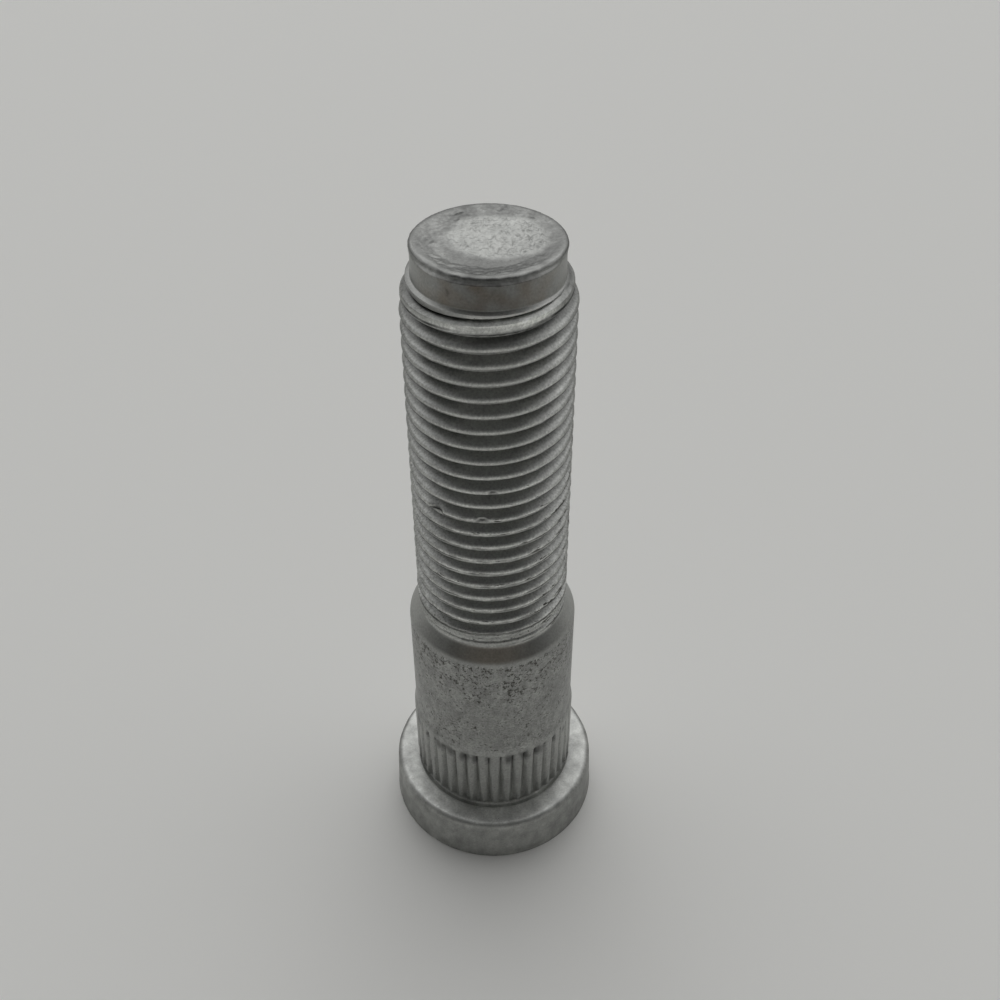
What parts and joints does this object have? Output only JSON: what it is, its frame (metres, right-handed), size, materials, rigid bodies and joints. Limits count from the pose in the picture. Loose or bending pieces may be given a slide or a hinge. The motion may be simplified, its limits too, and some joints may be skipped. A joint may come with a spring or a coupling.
{
  "type": "wheel stud",
  "caption": "Press-in wheel stud with a round head, serrated seat, plain shank, tapered shoulder, rolled thread and a plain pilot end that guides the nut.",
  "frame": {"origin": "centre of the head's end face, on which the stud stands", "axes": "+Z along the axis, from the head to the pilot end of the thread"},
  "size_m": [0.0208, 0.0208, 0.065],
  "materials": {
    "zinc_flake": "matte silver-grey zinc-flake coating on rolled steel"
  },
  "bodies": {
    "root": {"wheel_stud": "zinc_flake"}
  },
  "joints": []
}
